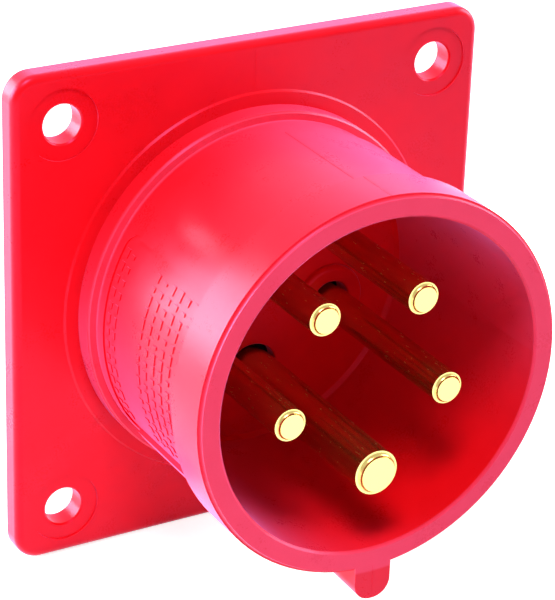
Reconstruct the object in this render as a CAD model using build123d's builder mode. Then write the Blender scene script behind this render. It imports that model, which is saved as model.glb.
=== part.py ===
from build123d import *
from math import cos, radians, sin
import os

# Five-pole panel inlet, millimetres. The tube's axis is Y, its mouth faces -Y, and +Z is up.
# The origin is the centre of the flange's rear face, which lies on the panel.

# Flange
flange_width = 79.0
flange_thickness = 3.6
flange_corner_radius = 4.0
flange_edge_radius = 1.2
hole_edge_distance = 8.0
hole_radius = 3.05
hole_chamfer = 0.25
spotface_radius = 5.6
spotface_depth = 0.25

# Tube outside, from the flange to the mouth
mouth_depth = 42.8
pad_radius = 31.6
pad_height = 0.3
base_ring_radius = 29.3
base_ring_height = 3.6
base_ring_chamfer = 0.3
neck_radius = 28.0
neck_length = 5.4
tube_radius = 28.45
tube_step_chamfer = 0.15
collar_radius = 29.7
collar_length = 8.4
collar_rear_chamfer = 0.3
rim_outer_radius = 0.55
rim_inner_radius = 0.35

# Tube inside
bore_mouth_radius = 26.2
bore_floor_radius = 25.7
floor_height = 5.4
floor_thickness = 2.5
floor_fillet = 0.6

# Key along the underside of the tube
key_width = 6.0
key_reach = 34.8
key_draft = 0.5
key_ramp_length = 6.0
key_end_radius = 2.8
key_embed = 0.5

# Label field on the left side of the tube, left bare
field_radius = 27.7
field_height = 31.4
field_rear = 9.5
field_corner_radius = 2.2

# Contact pins
pin_circle_radius = 13.9
pin_names = ["pe", "l1", "l2", "l3", "n"]
earth_angle = -90.0
pin_pitch = 360.0 / len(pin_names)
phase_pin_radius = 2.5
earth_pin_radius = 3.5
phase_pin_tip = 40.2
earth_pin_tip = 43.0
phase_tip_round = 0.6
earth_tip_round = 0.75
shank_relief = 0.25
shank_relief_start = 0.3
phase_hole_gap = 0.6
earth_hole_gap = 0.7
boss_radius = 5.7
boss_height = 1.0
boss_round = 0.7
pin_hole_chamfer = 0.2
barrel_radius = 4.5
barrel_length = 15.8
barrel_chamfer = 0.4
barrel_groove_depth = 0.5
barrel_groove_width = 1.0
barrel_groove_start = 1.2

# Wire clamp in each barrel
cavity_width = 4.2
cavity_inner = 3.0
cavity_outer = 2.4
cavity_depth = 11.5
clamp_position = 9.8
plate_width = 3.8
plate_length = 7.6
plate_thickness = 0.8
plate_gap = 0.1
plate_corner_radius = 0.6
plate_hole_radius = 1.15
clamp_travel = 2.1

# Terminal screw
screw_radius = 2.0
screw_nose_radius = 1.05
screw_nose_length = 0.75
screw_tip_gap = 0.05
screw_head_radius = 3.2
screw_head_height = 2.3
screw_head_round = 0.4
screw_seat_gap = 0.3
screw_slot_width = 0.9
screw_slot_depth = 1.1
screw_cross_length = 3.6
thread_gap = 0.06

# Contact carrier behind the floor
seat_radius = 25.6
carrier_gap = 0.3
carrier_base_front = 1.0
carrier_base_thickness = 3.0
carrier_edge_chamfer = 0.5
shoulder_recess = 0.8
locating_key_width = 3.0
locating_key_height = 1.4
locating_key_gap = 0.2
tower_wall = 1.45
chamber_gap = 0.25
tower_outer_face = 22.0
tower_corner_radius = 1.5
tower_height = 16.5
shank_gap = 0.05
window_gap = 0.3
hub_radius = 8.8
hub_height = 14.0
barrier_thickness = 1.4
barrier_reach = 24.2
barrier_height = 15.5

# Carrier fixing screws
fixing_spacing = 9.2
fixing_post_radius = 2.9
fixing_floor_left = 1.0
fixing_core_radius = 1.27
fixing_core_gap = 0.03
fixing_hole_radius = 1.6
fixing_head_radius = 2.75
fixing_head_height = 1.9
fixing_head_round = 0.5
fixing_head_gap = 0.35
fixing_seat_thickness = 5.0
fixing_tip_gap = 0.3
fixing_point_radius = 0.6
fixing_point_length = 0.9
fixing_cross_length = 3.0
fixing_cross_width = 0.7
fixing_cross_depth = 1.1

# Flange seal in its groove
groove_inner_radius = 31.2
groove_width = 2.6
groove_depth = 1.5
seal_side_gap = 0.1
seal_proud = 0.5
seal_round = 0.6

# Places worked out from the sizes above, as distances towards the mouth (front) or the panel (rear)
hole_spacing = flange_width - 2 * hole_edge_distance
ring_front = flange_thickness + base_ring_height
neck_front = ring_front + neck_length
collar_rear = mouth_depth - collar_length
key_root = neck_radius - key_embed
floor_rear = floor_height - floor_thickness
base_rear = carrier_base_thickness - carrier_base_front
shoulder = base_rear - shoulder_recess
barrel_rear = shoulder + barrel_length
chamber_radius = barrel_radius + chamber_gap
tower_radius = chamber_radius + tower_wall
clamp_height = shoulder + clamp_position
tower_rear = base_rear + tower_height
screw_seat = barrel_radius + screw_seat_gap + clamp_travel
plate_outer = cavity_outer - plate_gap
fixing_seat = base_rear - carrier_base_thickness + fixing_seat_thickness
barrier_start = hub_radius - barrier_thickness
barrier_angle = earth_angle + pin_pitch / 2


def square_plane(towards_rear):
    # a plane square to the tube, facing the mouth; its x is X and its y is Z
    return Plane.XZ.offset(-towards_rear)


def turned_plane(index, towards_rear):
    # a square plane turned about the tube's axis, so that its x points out through one pin
    turn = radians(earth_angle + index * pin_pitch)
    return Plane(origin=(0, towards_rear, 0), x_dir=(cos(turn), 0, sin(turn)), z_dir=(0, -1, 0))


def terminal_plane(index):
    # the plane through the tube's axis and one pin: x points outwards, y points to the rear
    turn = radians(earth_angle + index * pin_pitch)
    return Plane(
        origin=(pin_circle_radius * cos(turn), 0, pin_circle_radius * sin(turn)),
        x_dir=(cos(turn), 0, sin(turn)),
        z_dir=(-sin(turn), 0, cos(turn)),
    )


def pin_axis(index):
    place = terminal_plane(index)
    return Axis(place.origin, place.y_dir)


def clamp_axis(index):
    # the radial axis of one terminal screw
    place = terminal_plane(index)
    return Axis(place.from_local_coords((0, clamp_height, 0)), place.x_dir)


def screw_face_plane(index, distance):
    # a plane square to a terminal screw, facing outwards, at a distance from the pin's axis
    place = terminal_plane(index)
    return Plane(
        origin=place.from_local_coords((distance, clamp_height, 0)),
        x_dir=place.y_dir,
        z_dir=place.x_dir,
    )


def pin_radius(name):
    return earth_pin_radius if name == "pe" else phase_pin_radius


def pin_tip(name):
    return earth_pin_tip if name == "pe" else phase_pin_tip


def tip_round(name):
    return earth_tip_round if name == "pe" else phase_tip_round


def shank_radius(name):
    # the shank is turned a little smaller where it passes through the floor and the carrier
    return pin_radius(name) - shank_relief


def hole_front(name):
    # how far forward the floor reaches round one pin
    return floor_height if name == "pe" else floor_height + boss_height


def hole_gap(name):
    return earth_hole_gap if name == "pe" else phase_hole_gap


def save(name, part):
    part.label = name
    export_step(part, f"parts/{name}.step")


# Label field cutter: a block drawn in from the side and hollowed to the field's own radius
with BuildPart() as field_cutter:
    with BuildSketch(Plane.YZ.offset(-collar_radius)):
        with Locations((-(field_rear + collar_rear) / 2, 0)):
            field_outline = Rectangle(collar_rear - field_rear, field_height)
        fillet(field_outline.vertices().group_by(Axis.X)[-1], field_corner_radius)
    extrude(amount=collar_radius)
    with BuildSketch(Plane.XZ):
        Circle(field_radius)
    extrude(amount=mouth_depth, mode=Mode.SUBTRACT)

# Key: a drafted rib with a round outer edge, ramped down to the base ring
with BuildPart() as key:
    with BuildSketch(Plane.YZ):
        with BuildLine():
            Polyline(
                (-mouth_depth, -key_root),
                (-mouth_depth, -key_reach),
                (-ring_front - key_ramp_length, -key_reach + key_draft),
                (-ring_front, -base_ring_radius),
                (-ring_front, -key_root),
                close=True,
            )
        make_face()
    extrude(amount=key_width / 2, both=True)
    key_underside = key.faces().sort_by(Axis.Z)[0]
    fillet(key_underside.edges().filter_by(Axis.X, reverse=True), key_end_radius)

# Housing: flange, tube and key in one moulding
with BuildPart() as housing:
    with BuildSketch(square_plane(0)):
        RectangleRounded(flange_width, flange_width, flange_corner_radius)
    extrude(amount=flange_thickness)
    fillet(housing.faces().sort_by(Axis.Y)[0].edges(), flange_edge_radius)
    with BuildSketch(Plane.XY):
        with BuildLine():
            Polyline(
                (0, -flange_thickness / 2),
                (pad_radius, -flange_thickness / 2),
                (pad_radius, -flange_thickness),
                (pad_radius - pad_height, -flange_thickness - pad_height),
                (base_ring_radius, -flange_thickness - pad_height),
                (base_ring_radius, -ring_front + base_ring_chamfer),
                (base_ring_radius - base_ring_chamfer, -ring_front),
                (neck_radius, -ring_front),
                (neck_radius, -neck_front),
                (tube_radius - tube_step_chamfer, -neck_front),
                (tube_radius, -neck_front - tube_step_chamfer),
                (tube_radius, -collar_rear),
                (collar_radius - collar_rear_chamfer, -collar_rear),
                (collar_radius, -collar_rear - collar_rear_chamfer),
                (collar_radius, -mouth_depth + rim_outer_radius),
            )
            RadiusArc(
                (collar_radius, -mouth_depth + rim_outer_radius),
                (collar_radius - rim_outer_radius, -mouth_depth),
                -rim_outer_radius,
            )
            Polyline(
                (collar_radius - rim_outer_radius, -mouth_depth),
                (0, -mouth_depth),
                (0, -flange_thickness / 2),
            )
        make_face()
    revolve(axis=Axis.Y)
    add(key.part)
    with BuildSketch(Plane.XY):
        with BuildLine():
            Polyline(
                (0, -floor_height),
                (bore_floor_radius - floor_fillet, -floor_height),
                (bore_floor_radius, -floor_height - floor_fillet),
                (bore_mouth_radius, -mouth_depth + rim_inner_radius),
                (bore_mouth_radius + rim_inner_radius, -mouth_depth),
                (0, -mouth_depth),
                close=True,
            )
        make_face()
    revolve(axis=Axis.Y, mode=Mode.SUBTRACT)
    for index, name in enumerate(pin_names):
        if name != "pe":
            with BuildSketch(turned_plane(index, -floor_height)):
                with Locations((pin_circle_radius, 0)):
                    Circle(boss_radius)
            extrude(amount=boss_height)
            boss_front = housing.faces(Select.LAST).sort_by(Axis.Y)[0]
            fillet(boss_front.edges(), boss_round)
    with BuildSketch(square_plane(0)):
        Circle(seat_radius)
        with Locations((0, seat_radius)):
            Rectangle(locating_key_width, 2 * locating_key_height, mode=Mode.SUBTRACT)
    extrude(amount=floor_rear, mode=Mode.SUBTRACT)
    with BuildSketch(square_plane(-floor_rear)):
        with GridLocations(fixing_spacing, 0, 2, 1):
            Circle(fixing_post_radius)
    extrude(amount=carrier_base_front - floor_rear)
    with BuildSketch(square_plane(-carrier_base_front)):
        with GridLocations(fixing_spacing, 0, 2, 1):
            Circle(fixing_core_radius + fixing_core_gap)
    extrude(amount=floor_height - fixing_floor_left - carrier_base_front, mode=Mode.SUBTRACT)
    for index, name in enumerate(pin_names):
        with BuildSketch(turned_plane(index, -floor_rear)):
            with Locations((pin_circle_radius, 0)):
                Circle(pin_radius(name) + hole_gap(name))
        extrude(amount=hole_front(name) - floor_rear, mode=Mode.SUBTRACT)
        hole_rims = housing.edges(Select.LAST).filter_by(GeomType.CIRCLE)
        chamfer(hole_rims.sort_by(Axis.Y)[0], pin_hole_chamfer)
    with BuildSketch(square_plane(-flange_thickness)):
        with GridLocations(hole_spacing, hole_spacing, 2, 2):
            Circle(spotface_radius)
    extrude(amount=-spotface_depth, mode=Mode.SUBTRACT)
    with BuildSketch(square_plane(0)):
        with GridLocations(hole_spacing, hole_spacing, 2, 2):
            Circle(hole_radius)
    extrude(amount=flange_thickness, mode=Mode.SUBTRACT)
    hole_rims = housing.edges(Select.LAST).filter_by(GeomType.CIRCLE)
    chamfer(hole_rims.group_by(Axis.Y)[0], hole_chamfer)
    with BuildSketch(square_plane(0)):
        Circle(groove_inner_radius + groove_width)
        Circle(groove_inner_radius, mode=Mode.SUBTRACT)
    extrude(amount=groove_depth, mode=Mode.SUBTRACT)
    add(field_cutter.part, mode=Mode.SUBTRACT)

# Seal ring in the groove of the flange's rear face
with BuildPart() as flange_seal:
    with BuildSketch(Plane.XY):
        with Locations((groove_inner_radius + groove_width / 2, (seal_proud - groove_depth) / 2)):
            seal_outline = Rectangle(groove_width - 2 * seal_side_gap, groove_depth + seal_proud)
        fillet(seal_outline.vertices().group_by(Axis.Y)[-1], seal_round)
    revolve(axis=Axis.Y)

# Contact carrier: base disc, hub, five terminal towers and the barriers between them
with BuildPart() as contact_carrier:
    with BuildSketch(square_plane(-carrier_base_front)):
        Circle(seat_radius - carrier_gap)
        with Locations((0, seat_radius)):
            Rectangle(
                locating_key_width + 2 * locating_key_gap,
                2 * (locating_key_height + locating_key_gap),
                mode=Mode.SUBTRACT,
            )
    extrude(amount=-carrier_base_thickness)
    carrier_rim = contact_carrier.faces().sort_by(Axis.Y)[-1].outer_wire().edges()
    chamfer(carrier_rim.filter_by(GeomType.CIRCLE), carrier_edge_chamfer)
    with BuildSketch(square_plane(base_rear)):
        Circle(hub_radius)
    extrude(amount=-hub_height)
    with BuildSketch(square_plane(base_rear)):
        with PolarLocations((barrier_start + barrier_reach) / 2, len(pin_names), barrier_angle):
            Rectangle(barrier_reach - barrier_start, barrier_thickness)
    extrude(amount=-barrier_height)
    for index, name in enumerate(pin_names):
        with BuildSketch(turned_plane(index, base_rear)) as tower_outline:
            with Locations((pin_circle_radius, 0)):
                Circle(tower_radius)
            with Locations(((pin_circle_radius + tower_outer_face) / 2, 0)):
                Rectangle(tower_outer_face - pin_circle_radius, 2 * tower_radius)
            fillet(tower_outline.vertices().group_by(Axis.X)[-1], tower_corner_radius)
        extrude(amount=-tower_height)
    with BuildSketch(square_plane(tower_rear)):
        with PolarLocations(pin_circle_radius, len(pin_names), earth_angle):
            Circle(chamber_radius)
    extrude(amount=tower_rear - shoulder, mode=Mode.SUBTRACT)
    for index, name in enumerate(pin_names):
        with BuildSketch(turned_plane(index, shoulder)):
            with Locations((pin_circle_radius, 0)):
                Circle(shank_radius(name) + shank_gap)
        extrude(amount=shoulder + carrier_base_front, mode=Mode.SUBTRACT)
        with BuildSketch(screw_face_plane(index, 0)):
            Circle(screw_head_radius + window_gap)
        extrude(amount=tower_outer_face, mode=Mode.SUBTRACT)
    with BuildSketch(square_plane(base_rear + hub_height)):
        with GridLocations(fixing_spacing, 0, 2, 1):
            Circle(fixing_head_radius + fixing_head_gap)
    extrude(amount=base_rear + hub_height - fixing_seat, mode=Mode.SUBTRACT)
    with BuildSketch(square_plane(fixing_seat)):
        with GridLocations(fixing_spacing, 0, 2, 1):
            Circle(fixing_hole_radius)
    extrude(amount=fixing_seat + carrier_base_front, mode=Mode.SUBTRACT)


def make_contact_pin(index, name):
    # a turned pin with its terminal barrel, wire cavity and threaded hole
    shaft = pin_radius(name)
    shank = shank_radius(name)
    shank_front = hole_front(name) + shank_relief_start
    tip = pin_tip(name)
    end_round = tip_round(name)
    groove_front = shoulder + barrel_groove_start
    with BuildPart() as contact_pin:
        with BuildSketch(terminal_plane(index)):
            with BuildLine():
                Polyline(
                    (0, barrel_rear),
                    (barrel_radius - barrel_chamfer, barrel_rear),
                    (barrel_radius, barrel_rear - barrel_chamfer),
                    (barrel_radius, groove_front + barrel_groove_width),
                    (barrel_radius - barrel_groove_depth, groove_front + barrel_groove_width),
                    (barrel_radius - barrel_groove_depth, groove_front),
                    (barrel_radius, groove_front),
                    (barrel_radius, shoulder),
                    (shank, shoulder),
                    (shank, -shank_front),
                    (shaft, -shank_front),
                    (shaft, -tip + end_round),
                )
                RadiusArc((shaft, -tip + end_round), (shaft - end_round, -tip), -end_round)
                Polyline((shaft - end_round, -tip), (0, -tip), (0, barrel_rear))
            make_face()
        revolve(axis=pin_axis(index))
        with BuildSketch(terminal_plane(index)):
            with Locations(((cavity_outer - cavity_inner) / 2, barrel_rear - cavity_depth / 2)):
                Rectangle(cavity_outer + cavity_inner, cavity_depth)
        extrude(amount=cavity_width / 2, both=True, mode=Mode.SUBTRACT)
        with BuildSketch(screw_face_plane(index, 0)):
            Circle(screw_radius + thread_gap)
        extrude(amount=barrel_radius, mode=Mode.SUBTRACT)
    return contact_pin.part


def make_clamp_plate(index):
    # a small plate that the screw presses on the wire
    with BuildPart() as clamp_plate:
        with BuildSketch(screw_face_plane(index, plate_outer)):
            RectangleRounded(plate_length, plate_width, plate_corner_radius)
            Circle(plate_hole_radius, mode=Mode.SUBTRACT)
        extrude(amount=-plate_thickness)
    return clamp_plate.part


def make_terminal_screw(index):
    # a cheese-head screw, its head out by the clamp's whole travel
    nose_end = plate_outer + screw_tip_gap - screw_nose_length
    head_top = screw_seat + screw_head_height
    with BuildPart() as terminal_screw:
        with BuildSketch(terminal_plane(index)):
            with BuildLine():
                Polyline(
                    (nose_end, clamp_height),
                    (nose_end, clamp_height + screw_nose_radius),
                    (plate_outer + screw_tip_gap, clamp_height + screw_nose_radius),
                    (plate_outer + screw_tip_gap, clamp_height + screw_radius),
                    (screw_seat, clamp_height + screw_radius),
                    (screw_seat, clamp_height + screw_head_radius),
                    (head_top - screw_head_round, clamp_height + screw_head_radius),
                    (head_top, clamp_height + screw_head_radius - screw_head_round),
                    (head_top, clamp_height),
                    close=True,
                )
            make_face()
        revolve(axis=clamp_axis(index))
        with BuildSketch(screw_face_plane(index, head_top)):
            Rectangle(2 * screw_head_radius, screw_slot_width)
            Rectangle(screw_slot_width, screw_cross_length)
        extrude(amount=-screw_slot_depth, mode=Mode.SUBTRACT)
    return terminal_screw.part


def make_fixing_screw(side):
    # a pan-head self-tapping screw that holds the carrier on its post; side is -1 or 1
    axis_place = side * fixing_spacing / 2
    tip = -floor_height + fixing_floor_left + fixing_tip_gap
    head_top = fixing_seat + fixing_head_height
    with BuildPart() as fixing_screw:
        with BuildSketch(Plane.XY):
            with BuildLine():
                Polyline(
                    (axis_place, tip),
                    (axis_place + fixing_point_radius, tip),
                    (axis_place + fixing_core_radius, tip + fixing_point_length),
                    (axis_place + fixing_core_radius, fixing_seat),
                    (axis_place + fixing_head_radius, fixing_seat),
                    (axis_place + fixing_head_radius, head_top - fixing_head_round),
                    (axis_place + fixing_head_radius - fixing_head_round, head_top),
                    (axis_place, head_top),
                    close=True,
                )
            make_face()
        revolve(axis=Axis((axis_place, 0, 0), (0, 1, 0)))
        with BuildSketch(square_plane(head_top)):
            with Locations((axis_place, 0)):
                Rectangle(fixing_cross_length, fixing_cross_width)
                Rectangle(fixing_cross_width, fixing_cross_length)
        extrude(amount=fixing_cross_depth, mode=Mode.SUBTRACT)
    return fixing_screw.part


os.makedirs("parts", exist_ok=True)
save("housing", housing.part)
save("flange_seal", flange_seal.part)
save("contact_carrier", contact_carrier.part)
for index, name in enumerate(pin_names):
    save(f"pin_{name}", make_contact_pin(index, name))
    save(f"clamp_plate_{name}", make_clamp_plate(index))
    save(f"terminal_screw_{name}", make_terminal_screw(index))
save("fixing_screw_left", make_fixing_screw(-1))
save("fixing_screw_right", make_fixing_screw(1))
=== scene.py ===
import math

import bmesh
import bpy
from mathutils import Matrix, Vector


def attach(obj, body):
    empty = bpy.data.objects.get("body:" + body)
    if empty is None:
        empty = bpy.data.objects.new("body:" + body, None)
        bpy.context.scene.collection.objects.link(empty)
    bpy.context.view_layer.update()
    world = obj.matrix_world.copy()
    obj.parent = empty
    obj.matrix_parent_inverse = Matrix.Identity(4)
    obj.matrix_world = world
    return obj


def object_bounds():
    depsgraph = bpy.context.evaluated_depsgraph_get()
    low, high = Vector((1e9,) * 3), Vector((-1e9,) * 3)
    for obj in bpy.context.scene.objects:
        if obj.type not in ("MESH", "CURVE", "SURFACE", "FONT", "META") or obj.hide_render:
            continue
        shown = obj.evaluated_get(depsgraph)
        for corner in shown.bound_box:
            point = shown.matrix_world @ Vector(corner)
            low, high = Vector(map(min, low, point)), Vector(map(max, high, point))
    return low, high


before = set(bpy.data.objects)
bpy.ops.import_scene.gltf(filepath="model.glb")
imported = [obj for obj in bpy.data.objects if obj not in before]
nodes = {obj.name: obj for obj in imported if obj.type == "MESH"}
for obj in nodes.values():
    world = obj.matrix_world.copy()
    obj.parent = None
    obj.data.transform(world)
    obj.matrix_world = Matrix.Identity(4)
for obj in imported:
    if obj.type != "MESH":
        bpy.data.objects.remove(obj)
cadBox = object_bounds()
mm = 0.001
print("stage: frame loaded,", len(nodes), "nodes")

# camera, from the photograph's viewing angle
cameraSetup = {
    "place": (-0.181652, -0.321025, 0.170796),
    "right": (0.869054, -0.493663, 0.032279),
    "up": (0.186377, 0.387145, 0.902985),
    "lens": 157.153,
    "sensor": 36.0,  # along the picture's height
    "clipStart": 0.01,
}


def makeCamera(setup):
    data = bpy.data.cameras.new("viewCamera")
    data.sensor_fit = "VERTICAL"
    data.sensor_height = setup["sensor"]
    data.lens = setup["lens"]
    data.clip_start = setup["clipStart"]
    camera = bpy.data.objects.new("viewCamera", data)
    right = Vector(setup["right"]).normalized()
    up = Vector(setup["up"])
    up = (up - right * up.dot(right)).normalized()
    turn = Matrix((right, up, right.cross(up))).transposed()
    camera.matrix_world = Matrix.Translation(setup["place"]) @ turn.to_4x4()
    bpy.context.scene.collection.objects.link(camera)
    bpy.context.scene.camera = camera


makeCamera(cameraSetup)
bpy.context.scene.view_settings.view_transform = "Standard"
print("stage: camera")


# small helpers for node trees
def addNode(tree, kind, **settings):
    node = tree.nodes.new(kind)
    for name, value in settings.items():
        if name in node.bl_rna.properties:
            setattr(node, name, value)
        else:
            node.inputs[name].default_value = value
    return node


def join(tree, source, target):
    tree.links.new(source, target)


def addMath(tree, operation, first, second=0.0):
    node = tree.nodes.new("ShaderNodeMath")
    node.operation = operation
    for socket, value in zip(node.inputs, (first, second)):
        if isinstance(value, (int, float)):
            socket.default_value = value
        else:
            tree.links.new(value, socket)
    return node.outputs[0]


def addRange(tree, value, fromLow, fromHigh, toLow, toHigh):
    node = tree.nodes.new("ShaderNodeMapRange")
    tree.links.new(value, node.inputs["Value"])
    node.inputs["From Min"].default_value = fromLow
    node.inputs["From Max"].default_value = fromHigh
    node.inputs["To Min"].default_value = toLow
    node.inputs["To Max"].default_value = toHigh
    return node.outputs["Result"]


def liveSocket(sockets, name):
    # a Mix node has several sockets of one name, and only those of its own type are enabled
    return next(socket for socket in sockets if socket.enabled and socket.name == name)


def newGroup(name, inputs, outputs):
    group = bpy.data.node_groups.new(name, "ShaderNodeTree")
    for label, kind, value in inputs:
        socket = group.interface.new_socket(label, in_out="INPUT", socket_type=kind)
        if value is not None:
            socket.default_value = value
    for label, kind in outputs:
        group.interface.new_socket(label, in_out="OUTPUT", socket_type=kind)
    return group, group.nodes.new("NodeGroupInput"), group.nodes.new("NodeGroupOutput")


# moulded skin: a broad, faint waviness, and the fine grain of the tool's surface
mouldNoise = {
    "wave": {"Detail": 2.0, "Roughness": 0.45},
    "grain": {"Detail": 3.0, "Roughness": 0.6},
    "glossFromWave": 0.6,
    "glossFromGrain": 0.4,
    "span": (0.35, 0.65),  # the stretch of its gloss value that a look spreads over its own range
}


def makeMouldGroup():
    group, given, result = newGroup(
        "mouldedSkin",
        [
            ("Position", "NodeSocketVector", None),
            ("Wave Size", "NodeSocketFloat", 120.0),
            ("Grain Size", "NodeSocketFloat", 2500.0),
            ("Grain Share", "NodeSocketFloat", 0.3),
        ],
        [("Height", "NodeSocketFloat"), ("Tone", "NodeSocketFloat"), ("Gloss", "NodeSocketFloat")],
    )
    wave = addNode(group, "ShaderNodeTexNoise", **mouldNoise["wave"])
    grain = addNode(group, "ShaderNodeTexNoise", **mouldNoise["grain"])
    for noise, size in ((wave, "Wave Size"), (grain, "Grain Size")):
        join(group, given.outputs["Position"], noise.inputs["Vector"])
        join(group, given.outputs[size], noise.inputs["Scale"])
    fine = addMath(group, "MULTIPLY", grain.outputs["Fac"], given.outputs["Grain Share"])
    height = addMath(group, "ADD", wave.outputs["Fac"], fine)
    broad = addMath(group, "MULTIPLY", wave.outputs["Fac"], mouldNoise["glossFromWave"])
    small = addMath(group, "MULTIPLY", grain.outputs["Fac"], mouldNoise["glossFromGrain"])
    gloss = addMath(group, "ADD", broad, small)
    join(group, height, result.inputs["Height"])
    join(group, wave.outputs["Fac"], result.inputs["Tone"])
    join(group, gloss, result.inputs["Gloss"])
    return group


# metal worked on a lathe or drawn: faint lines, and blotches where it was handled
metalNoise = {
    "lines": {"Detail": 4.0, "Roughness": 0.65},
    "blotches": {"Detail": 3.0, "Roughness": 0.55},
    "span": (0.3, 0.7),  # the stretch of both values that a look spreads over its own range
}


def makeMetalGroup():
    group, given, result = newGroup(
        "workedMetal",
        [
            ("Position", "NodeSocketVector", None),
            ("Line Size", "NodeSocketFloat", 1.0),
            ("Blotch Size", "NodeSocketFloat", 300.0),
        ],
        [("Lines", "NodeSocketFloat"), ("Blotches", "NodeSocketFloat")],
    )
    lines = addNode(group, "ShaderNodeTexNoise", **metalNoise["lines"])
    blotch = addNode(group, "ShaderNodeTexNoise", **metalNoise["blotches"])
    join(group, given.outputs["Position"], lines.inputs["Vector"])
    join(group, given.outputs["Position"], blotch.inputs["Vector"])
    join(group, given.outputs["Line Size"], lines.inputs["Scale"])
    join(group, given.outputs["Blotch Size"], blotch.inputs["Scale"])
    join(group, lines.outputs["Fac"], result.inputs["Lines"])
    join(group, blotch.outputs["Fac"], result.inputs["Blotches"])
    return group


mouldGroup = makeMouldGroup()
metalGroup = makeMetalGroup()


def newMaterial(name):
    material = bpy.data.materials.new(name)
    material.use_nodes = True
    tree = material.node_tree
    return material, tree, tree.nodes["Principled BSDF"]


def useGroup(tree, group, **values):
    node = tree.nodes.new("ShaderNodeGroup")
    node.node_tree = group
    for name, value in values.items():
        node.inputs[name].default_value = value
    return node


def blendColours(tree, mask, low, high):
    # low and high are colours, or sockets that give one
    node = tree.nodes.new("ShaderNodeMix")
    node.data_type = "RGBA"
    join(tree, mask, liveSocket(node.inputs, "Factor"))
    for name, colour in (("A", low), ("B", high)):
        if isinstance(colour, tuple):
            liveSocket(node.inputs, name).default_value = (*colour, 1.0)
        else:
            join(tree, colour, liveSocket(node.inputs, name))
    return liveSocket(node.outputs, "Result")


def addBump(tree, height, distance, strength, shader):
    bump = addNode(tree, "ShaderNodeBump", Distance=distance, Strength=strength)
    join(tree, height, bump.inputs["Height"])
    join(tree, bump.outputs["Normal"], shader.inputs["Normal"])


# glossy red polyamide
redLook = {
    "waveSize": 160.0,
    "grainSize": 3000.0,
    "grainShare": 0.04,
    "deep": (0.74, 0.0010, 0.0012),
    "bright": (0.84, 0.0016, 0.0020),
    "roughLow": 0.26,
    "roughHigh": 0.36,
    "specular": 0.30,
    "specularTint": (1.0, 0.36, 1.0, 1.0),
    "sheen": 0.70,
    "sheenRough": 0.38,
    "sheenTint": (1.0, 0.36, 1.0, 1.0),
    "bumpHeight": 0.03 * mm,
    # painted highlight: the pale pink laid in patches on the mouth's rim and the ring's front face
    "paintedHighlight": (0.86, 0.040, 0.092),
    "paintedHighlightShare": 0.80,
    "edges": [
        {"inside": 26.2 * mm, "outside": 29.9 * mm, "back": -42.2 * mm, "front": -42.7 * mm},
        {"inside": 27.9 * mm, "outside": 29.5 * mm, "back": -6.8 * mm, "front": -7.15 * mm},
    ],
    "edgeFade": 0.4 * mm,
}


def addPaintedRimHighlights(tree, position, skin, colour, look):
    # painted highlight: the mouth's rim and the front face of the ring at the tube's foot are made paler and
    # pinker in patches, standing in for the light that their rounded edges catch
    split = tree.nodes.new("ShaderNodeSeparateXYZ")
    join(tree, position, split.inputs[0])
    across = addMath(tree, "POWER", split.outputs["X"], 2.0)
    upward = addMath(tree, "POWER", split.outputs["Z"], 2.0)
    radius = addMath(tree, "SQRT", addMath(tree, "ADD", across, upward))
    patch = addRange(tree, skin.outputs["Gloss"], *mouldNoise["span"], look["paintedHighlightShare"], 1.0)
    for edge in look["edges"]:
        inner = addRange(tree, radius, edge["inside"] - look["edgeFade"], edge["inside"], 0.0, 1.0)
        outer = addRange(tree, radius, edge["outside"], edge["outside"] + look["edgeFade"], 1.0, 0.0)
        front = addRange(tree, split.outputs["Y"], edge["back"], edge["front"], 0.0, 1.0)
        behind = edge["front"] - look["edgeFade"]
        near = addRange(tree, split.outputs["Y"], behind - look["edgeFade"], behind, 0.0, 1.0)
        mask = addMath(tree, "MULTIPLY", addMath(tree, "MULTIPLY", inner, outer), patch)
        mask = addMath(tree, "MULTIPLY", mask, addMath(tree, "MULTIPLY", front, near))
        colour = blendColours(tree, mask, colour, look["paintedHighlight"])
    return colour


def makeMoulded(name, look):
    material, tree, shader = newMaterial(name)
    place = tree.nodes.new("ShaderNodeTexCoord")
    skin = useGroup(tree, mouldGroup, **{
        "Wave Size": look["waveSize"],
        "Grain Size": look["grainSize"],
        "Grain Share": look["grainShare"],
    })
    join(tree, place.outputs["Object"], skin.inputs["Position"])
    colour = blendColours(tree, skin.outputs["Tone"], look["deep"], look["bright"])
    if "edges" in look:
        # painted highlight on the mouth's rim and on the ring at the tube's foot
        colour = addPaintedRimHighlights(tree, place.outputs["Object"], skin, colour, look)
    join(tree, colour, shader.inputs["Base Color"])
    rough = addRange(tree, skin.outputs["Gloss"], *mouldNoise["span"], look["roughLow"], look["roughHigh"])
    join(tree, rough, shader.inputs["Roughness"])
    if "specularTint" in look:
        shader.inputs["Specular IOR Level"].default_value = look["specular"]
        shader.inputs["Specular Tint"].default_value = look["specularTint"]
    if "sheen" in look:
        shader.inputs["Sheen Weight"].default_value = look["sheen"]
        shader.inputs["Sheen Roughness"].default_value = look["sheenRough"]
        shader.inputs["Sheen Tint"].default_value = look["sheenTint"]
    addBump(tree, skin.outputs["Height"], look["bumpHeight"], 1.0, shader)
    return material


redPlastic = makeMoulded("redPlastic", redLook)

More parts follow.
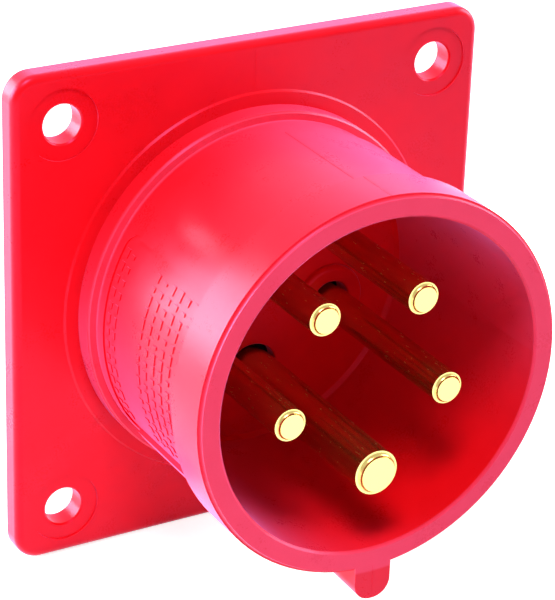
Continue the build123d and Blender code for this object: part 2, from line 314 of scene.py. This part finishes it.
# black plastic and rubber behind the panel
carrierLook = {
    "waveSize": 200.0,
    "grainSize": 3500.0,
    "grainShare": 0.45,
    "deep": (0.018, 0.018, 0.020),
    "bright": (0.032, 0.032, 0.035),
    "roughLow": 0.42,
    "roughHigh": 0.58,
    "bumpHeight": 0.05 * mm,
}
rubberLook = {
    "waveSize": 300.0,
    "grainSize": 2200.0,
    "grainShare": 0.8,
    "deep": (0.014, 0.014, 0.015),
    "bright": (0.030, 0.030, 0.031),
    "roughLow": 0.68,
    "roughHigh": 0.86,
    "bumpHeight": 0.08 * mm,
}
blackPlastic = makeMoulded("blackPlastic", carrierLook)
blackRubber = makeMoulded("blackRubber", rubberLook)

# turned brass: rings in the gloss of the flat tip, faint drawn lines along the shaft
brassLook = {
    "dark": (0.36, 0.19, 0.045),
    "light": (0.90, 0.76, 0.27),
    "roughLow": 0.20,
    "roughHigh": 0.28,
    "grain": (2600.0, 420.0, 2600.0),  # stretched along the pin
    "lineSize": 1.0,
    "blotchSize": 0.35,
    "toneLow": 0.40,
    "toneHigh": 0.62,
    "ringSize": 1400.0,
    "ringWobble": 0.6,
    "ringLow": 0.35,
    "ringHigh": 0.65,
    "flatFrom": 0.80,  # how squarely a face looks along the pin
    "flatFull": 0.95,
    "bumpHeight": 0.0005 * mm,
    "bumpStrength": 0.6,
}
pinCircle = 13.9 * mm
pinNames = ["pe", "l1", "l2", "l3", "n"]
earthAngle = -90.0
pinPitch = 360.0 / len(pinNames)


def pinPlace(index):
    turn = math.radians(earthAngle + index * pinPitch)
    return pinCircle * math.cos(turn), pinCircle * math.sin(turn)


def makeBrass(index, name, look):
    material, tree, shader = newMaterial("turnedBrass_" + name)
    across, upward = pinPlace(index)
    place = tree.nodes.new("ShaderNodeTexCoord")
    centred = addNode(tree, "ShaderNodeMapping", vector_type="POINT")
    centred.inputs["Location"].default_value = (-across, 0.0, -upward)
    join(tree, place.outputs["Object"], centred.inputs["Vector"])
    drawn = addNode(tree, "ShaderNodeMapping", vector_type="POINT")
    drawn.inputs["Scale"].default_value = look["grain"]
    join(tree, centred.outputs["Vector"], drawn.inputs["Vector"])
    worked = useGroup(tree, metalGroup, **{"Line Size": look["lineSize"], "Blotch Size": look["blotchSize"]})
    join(tree, drawn.outputs["Vector"], worked.inputs["Position"])
    rings = addNode(tree, "ShaderNodeTexWave", wave_type="RINGS", rings_direction="Y")
    rings.inputs["Scale"].default_value = look["ringSize"]
    rings.inputs["Distortion"].default_value = look["ringWobble"]
    join(tree, centred.outputs["Vector"], rings.inputs["Vector"])
    facing = addNode(tree, "ShaderNodeNewGeometry")
    split = addNode(tree, "ShaderNodeSeparateXYZ")
    join(tree, facing.outputs["Normal"], split.inputs[0])
    square = addMath(tree, "ABSOLUTE", split.outputs["Y"])
    flatTip = addRange(tree, square, look["flatFrom"], look["flatFull"], 0.0, 1.0)
    turned = addRange(tree, rings.outputs["Fac"], 0.0, 1.0, look["ringLow"], look["ringHigh"])
    marks = addNode(tree, "ShaderNodeMix", data_type="FLOAT")
    join(tree, flatTip, liveSocket(marks.inputs, "Factor"))
    join(tree, worked.outputs["Lines"], liveSocket(marks.inputs, "A"))
    join(tree, turned, liveSocket(marks.inputs, "B"))
    tone = addRange(tree, worked.outputs["Blotches"], *metalNoise["span"], look["toneLow"], look["toneHigh"])
    tone = addMath(tree, "MAXIMUM", tone, flatTip)
    join(tree, blendColours(tree, tone, look["dark"], look["light"]), shader.inputs["Base Color"])
    wear = liveSocket(marks.outputs, "Result")
    rough = addRange(tree, wear, *metalNoise["span"], look["roughLow"], look["roughHigh"])
    join(tree, rough, shader.inputs["Roughness"])
    shader.inputs["Metallic"].default_value = 1.0
    addBump(tree, worked.outputs["Lines"], look["bumpHeight"], look["bumpStrength"], shader)
    return material


# zinc plating
zincLook = {
    "dark": (0.50, 0.52, 0.53),
    "light": (0.80, 0.81, 0.80),
    "roughLow": 0.20,
    "roughHigh": 0.40,
    "lineSize": 2600.0,
    "blotchSize": 420.0,
    "bumpHeight": 0.01 * mm,
    "bumpStrength": 0.5,
}


def makeZinc(look):
    material, tree, shader = newMaterial("zincPlate")
    place = tree.nodes.new("ShaderNodeTexCoord")
    worked = useGroup(tree, metalGroup, **{"Line Size": look["lineSize"], "Blotch Size": look["blotchSize"]})
    join(tree, place.outputs["Object"], worked.inputs["Position"])
    tone = blendColours(tree, worked.outputs["Blotches"], look["dark"], look["light"])
    join(tree, tone, shader.inputs["Base Color"])
    rough = addRange(tree, worked.outputs["Lines"], *metalNoise["span"], look["roughLow"], look["roughHigh"])
    join(tree, rough, shader.inputs["Roughness"])
    shader.inputs["Metallic"].default_value = 1.0
    addBump(tree, worked.outputs["Lines"], look["bumpHeight"], look["bumpStrength"], shader)
    return material


zincPlate = makeZinc(zincLook)


def dress(name, material):
    slots = nodes[name].data.materials
    if len(slots) == 0:
        slots.append(material)
    for place in range(len(slots)):
        slots[place] = material


dress("housing", redPlastic)
dress("flange_seal", blackRubber)
dress("contact_carrier", blackPlastic)
dress("fixing_screw_left", zincPlate)
dress("fixing_screw_right", zincPlate)
for index, name in enumerate(pinNames):
    dress("pin_" + name, makeBrass(index, name, brassLook))
    dress("clamp_plate_" + name, zincPlate)
    dress("terminal_screw_" + name, zincPlate)
print("stage: materials")


# geometry trees: a tree is a modifier on an empty mesh, and its result is kept as a plain mesh
def newTree(name, inputs):
    tree = bpy.data.node_groups.new(name, "GeometryNodeTree")
    for label, kind in inputs:
        tree.interface.new_socket(label, in_out="INPUT", socket_type=kind)
    tree.interface.new_socket("Geometry", in_out="OUTPUT", socket_type="NodeSocketGeometry")
    return tree, tree.nodes.new("NodeGroupInput"), tree.nodes.new("NodeGroupOutput")


def finishTree(tree, geometry, material, result):
    solid = tree.nodes.new("GeometryNodeRealizeInstances")
    painted = tree.nodes.new("GeometryNodeSetMaterial")
    painted.inputs["Material"].default_value = material
    join(tree, geometry, solid.inputs["Geometry"])
    join(tree, solid.outputs["Geometry"], painted.inputs["Geometry"])
    join(tree, painted.outputs["Geometry"], result.inputs["Geometry"])


def growMesh(tree, values):
    holder = bpy.data.objects.new("holder", bpy.data.meshes.new("holder"))
    bpy.context.scene.collection.objects.link(holder)
    modifier = holder.modifiers.new("tree", "NODES")
    modifier.node_group = tree
    sockets = {s.name: s.identifier for s in tree.interface.items_tree if s.in_out == "INPUT"}
    for label, value in values.items():
        modifier[sockets[label]] = value
    seen = holder.evaluated_get(bpy.context.evaluated_depsgraph_get())
    mesh = bpy.data.meshes.new_from_object(seen)
    holder.modifiers.remove(modifier)
    bpy.data.objects.remove(holder)
    return mesh


def addPiece(name, mesh, body):
    piece = bpy.data.objects.new(name, mesh)
    bpy.context.scene.collection.objects.link(piece)
    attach(piece, body)
    return piece


# label field: rows of short plain bars in two columns round the tube, with a smooth band between
reliefLook = {
    "fieldRadius": 27.7 * mm,
    "barHeight": 0.16 * mm,
    "columns": {
        "rear": {"start": -10.7 * mm, "end": -12.5 * mm, "lines": 2, "bars": 14, "seed": 4},
        "front": {"start": -20.4 * mm, "end": -31.8 * mm, "lines": 6, "bars": 16, "seed": 9},
    },
    "arcHalf": 13.4 * mm,
    "barWidth": 0.95 * mm,
    "barLength": 1.35 * mm,
    "barSteps": 4,  # points along a bar, so that it bends with the tube
    "shortest": 0.35,
    "longest": 1.25,
}


def makeReliefTree(look):
    tree, given, result = newTree("fieldRelief", [
        ("Lines", "NodeSocketInt"), ("Bars", "NodeSocketInt"),
        ("Start", "NodeSocketFloat"), ("End", "NodeSocketFloat"), ("Arc Half", "NodeSocketFloat"),
        ("Bar Width", "NodeSocketFloat"), ("Bar Length", "NodeSocketFloat"),
        ("Bar Height", "NodeSocketFloat"),
        ("Shortest", "NodeSocketFloat"), ("Longest", "NodeSocketFloat"),
        ("Radius", "NodeSocketFloat"), ("Seed", "NodeSocketInt"),
    ])
    put = given.outputs
    grid = tree.nodes.new("GeometryNodeMeshGrid")
    length = addMath(tree, "ABSOLUTE", addMath(tree, "SUBTRACT", put["End"], put["Start"]))
    join(tree, length, grid.inputs["Size X"])
    join(tree, addMath(tree, "MULTIPLY", put["Arc Half"], 2.0), grid.inputs["Size Y"])
    join(tree, put["Lines"], grid.inputs["Vertices X"])
    join(tree, put["Bars"], grid.inputs["Vertices Y"])
    bar = tree.nodes.new("GeometryNodeMeshCube")
    size = tree.nodes.new("ShaderNodeCombineXYZ")
    join(tree, put["Bar Width"], size.inputs["X"])
    join(tree, put["Bar Length"], size.inputs["Y"])
    join(tree, put["Bar Height"], size.inputs["Z"])
    join(tree, size.outputs[0], bar.inputs["Size"])
    bar.inputs["Vertices Y"].default_value = look["barSteps"]
    stretch = tree.nodes.new("FunctionNodeRandomValue")
    stretch.data_type = "FLOAT"
    live = {s.name: s for s in stretch.inputs if s.enabled}
    join(tree, put["Shortest"], live["Min"])
    join(tree, put["Longest"], live["Max"])
    join(tree, put["Seed"], live["Seed"])
    scale = tree.nodes.new("ShaderNodeCombineXYZ")
    scale.inputs["X"].default_value = 1.0
    scale.inputs["Z"].default_value = 1.0
    join(tree, next(s for s in stretch.outputs if s.enabled), scale.inputs["Y"])
    spread = tree.nodes.new("GeometryNodeInstanceOnPoints")
    join(tree, grid.outputs["Mesh"], spread.inputs["Points"])
    join(tree, bar.outputs["Mesh"], spread.inputs["Instance"])
    join(tree, scale.outputs[0], spread.inputs["Scale"])
    loose = tree.nodes.new("GeometryNodeRealizeInstances")
    join(tree, spread.outputs["Instances"], loose.inputs["Geometry"])
    # wrap the flat pattern round the tube's left side: x runs along the tube and y round it
    spot = tree.nodes.new("GeometryNodeInputPosition")
    flat = tree.nodes.new("ShaderNodeSeparateXYZ")
    join(tree, spot.outputs[0], flat.inputs[0])
    turn = addMath(tree, "DIVIDE", flat.outputs["Y"], put["Radius"])
    reach = addMath(tree, "ADD", flat.outputs["Z"], put["Radius"])
    middle = addMath(tree, "MULTIPLY", addMath(tree, "ADD", put["Start"], put["End"]), 0.5)
    wrapped = tree.nodes.new("ShaderNodeCombineXYZ")
    sideways = addMath(tree, "MULTIPLY", reach, addMath(tree, "COSINE", turn))
    join(tree, addMath(tree, "MULTIPLY", sideways, -1.0), wrapped.inputs["X"])
    join(tree, addMath(tree, "ADD", middle, flat.outputs["X"]), wrapped.inputs["Y"])
    join(tree, addMath(tree, "MULTIPLY", reach, addMath(tree, "SINE", turn)), wrapped.inputs["Z"])
    bent = tree.nodes.new("GeometryNodeSetPosition")
    join(tree, loose.outputs["Geometry"], bent.inputs["Geometry"])
    join(tree, wrapped.outputs[0], bent.inputs["Position"])
    finishTree(tree, bent.outputs["Geometry"], redPlastic, result)
    return tree


def makeRelief(look):
    tree = makeReliefTree(look)
    for name, column in look["columns"].items():
        mesh = growMesh(tree, {
            "Lines": column["lines"], "Bars": column["bars"], "Seed": column["seed"],
            "Start": column["start"], "End": column["end"], "Arc Half": look["arcHalf"],
            "Bar Width": look["barWidth"], "Bar Length": look["barLength"],
            "Bar Height": 2 * look["barHeight"],  # half of it is sunk in the field
            "Shortest": look["shortest"], "Longest": look["longest"],
            "Radius": look["fieldRadius"],
        })
        addPiece("field_relief_" + name, mesh, "inlet")


makeRelief(reliefLook)
print("stage: label field")

# mould seams: a fine raised line where the two halves of the tool met, at x = 0
seamLook = {
    "halfWidth": 0.11 * mm,
    "proud": 0.05 * mm,
    "depth": 0.10 * mm,
    "crestShare": 0.35,  # how wide the crest is, next to the foot
    "flangeFront": -3.6 * mm,
    "flangeReach": 38.0 * mm,
    "padReach": 31.9 * mm,
    "tubeStart": -12.85 * mm,
    "tubeRadius": 28.45 * mm,
    "collarStart": -34.75 * mm,
    "collarRadius": 29.7 * mm,
    "mouth": -42.8 * mm,
    "collarEnd": -42.2 * mm,
    "keyReach": 34.0 * mm,
    "keyTop": 29.2 * mm,
}


def addRidge(points, faces, start, end, outward, look):
    # a low ridge from start to end, narrower at its crest, with its foot sunk in the surface
    start, end, outward = Vector(start), Vector(end), Vector(outward)
    side = Vector((look["halfWidth"], 0.0, 0.0))
    foot = outward * -look["depth"]
    crest = outward * look["proud"]
    top = side * look["crestShare"]
    section = [foot - side, foot + side, crest + top, crest - top]
    corners = len(section)
    near = [len(points) + step for step in range(corners)]
    far = [corner + corners for corner in near]
    for place in (start, end):
        points += [place + corner for corner in section]
    for step in range(corners):
        ahead = (step + 1) % corners
        faces.append((near[step], near[ahead], far[ahead], far[step]))
    faces.append(tuple(reversed(near)))
    faces.append(tuple(far))


def makeSeams(look):
    points, faces = [], []
    toMouth, up, down = (0, -1, 0), (0, 0, 1), (0, 0, -1)
    front, mouth = look["flangeFront"], look["mouth"]
    tube, collar = look["tubeRadius"], look["collarRadius"]
    runs = [
        ((0, front, look["padReach"]), (0, front, look["flangeReach"]), toMouth),
        ((0, look["tubeStart"], tube), (0, look["collarStart"], tube), up),
        ((0, look["collarStart"], collar), (0, look["collarEnd"], collar), up),
        ((0, mouth, -look["keyTop"]), (0, mouth, -look["keyReach"]), toMouth),
        ((0, front, -look["flangeReach"]), (0, front, -look["padReach"]), toMouth),
    ]
    for start, end, outward in runs:
        addRidge(points, faces, start, end, outward, look)
    mesh = bpy.data.meshes.new("mould_seams")
    mesh.from_pydata(points, [], faces)
    turnOutwards(mesh)
    mesh.materials.append(redPlastic)
    addPiece("mould_seams", mesh, "inlet")


def turnOutwards(mesh):
    shape = bmesh.new()
    shape.from_mesh(mesh)
    bmesh.ops.recalc_face_normals(shape, faces=shape.faces)
    shape.to_mesh(mesh)
    shape.free()


makeSeams(seamLook)
print("stage: mould seams")

# floor: it keeps the shadow, and shows white to the camera and in reflections
studio = {
    "floorSize": 6.0,
    "floorDrop": 0.0002,
    "floorColour": (0.62, 0.62, 0.62, 1.0),
    "floorRough": 0.9,
    "floorLift": 0.80,
    "worldFill": 0.03,
    "white": (1.0, 1.0, 1.0, 1.0),
}


def seenDirectly(tree):
    path = tree.nodes.new("ShaderNodeLightPath")
    seen = addMath(tree, "ADD", path.outputs["Is Camera Ray"], path.outputs["Is Glossy Ray"])
    return addMath(tree, "MINIMUM", addMath(tree, "ADD", seen, path.outputs["Is Transmission Ray"]), 1.0)


def makeFloor():
    low = cadBox[0][2] - studio["floorDrop"]
    mesh = bpy.data.meshes.new("studioFloor")
    half = studio["floorSize"] / 2
    corners = [(-half, -half, low), (half, -half, low), (half, half, low), (-half, half, low)]
    mesh.from_pydata(corners, [], [(0, 1, 2, 3)])
    floor = bpy.data.objects.new("studioFloor", mesh)
    bpy.context.scene.collection.objects.link(floor)
    material, tree, shader = newMaterial("floorWhite")
    shader.inputs["Base Color"].default_value = studio["floorColour"]
    shader.inputs["Roughness"].default_value = studio["floorRough"]
    shader.inputs["Specular IOR Level"].default_value = 0.0
    shader.inputs["Emission Color"].default_value = studio["white"]
    lift = addMath(tree, "MULTIPLY", seenDirectly(tree), studio["floorLift"])
    join(tree, lift, shader.inputs["Emission Strength"])
    mesh.materials.append(material)


def makeWorld():
    world = bpy.data.worlds.new("studioWorld")
    world.use_nodes = True
    bpy.context.scene.world = world
    tree = world.node_tree
    background = tree.nodes["Background"]
    background.inputs["Color"].default_value = studio["white"]
    strength = addRange(tree, seenDirectly(tree), 0.0, 1.0, studio["worldFill"], 1.0)
    join(tree, strength, background.inputs["Strength"])


# soft square lamps: places and sizes in metres, power in watts
lamps = {
    "keyTop": {"place": (-0.26, -0.35, 0.97), "size": 0.36, "power": 9.6},
    "sideLeft": {"place": (-0.86, 0.34, 0.36), "size": 0.60, "power": 24.0},
    "backLeft": {"place": (-0.60, 0.80, 0.22), "size": 0.60, "power": 15.0},
    "topRight": {"place": (0.98, -0.10, 0.42), "size": 0.60, "power": 12.0},
}


def makeLamp(name, setup):
    data = bpy.data.lights.new(name, "AREA")
    data.size = setup["size"]
    data.energy = setup["power"]
    lamp = bpy.data.objects.new(name, data)
    lamp.location = setup["place"]
    lamp.rotation_euler = (-Vector(setup["place"])).to_track_quat("-Z", "Y").to_euler()
    bpy.context.scene.collection.objects.link(lamp)


makeFloor()
makeWorld()
for name, setup in lamps.items():
    makeLamp(name, setup)
print("stage: studio")
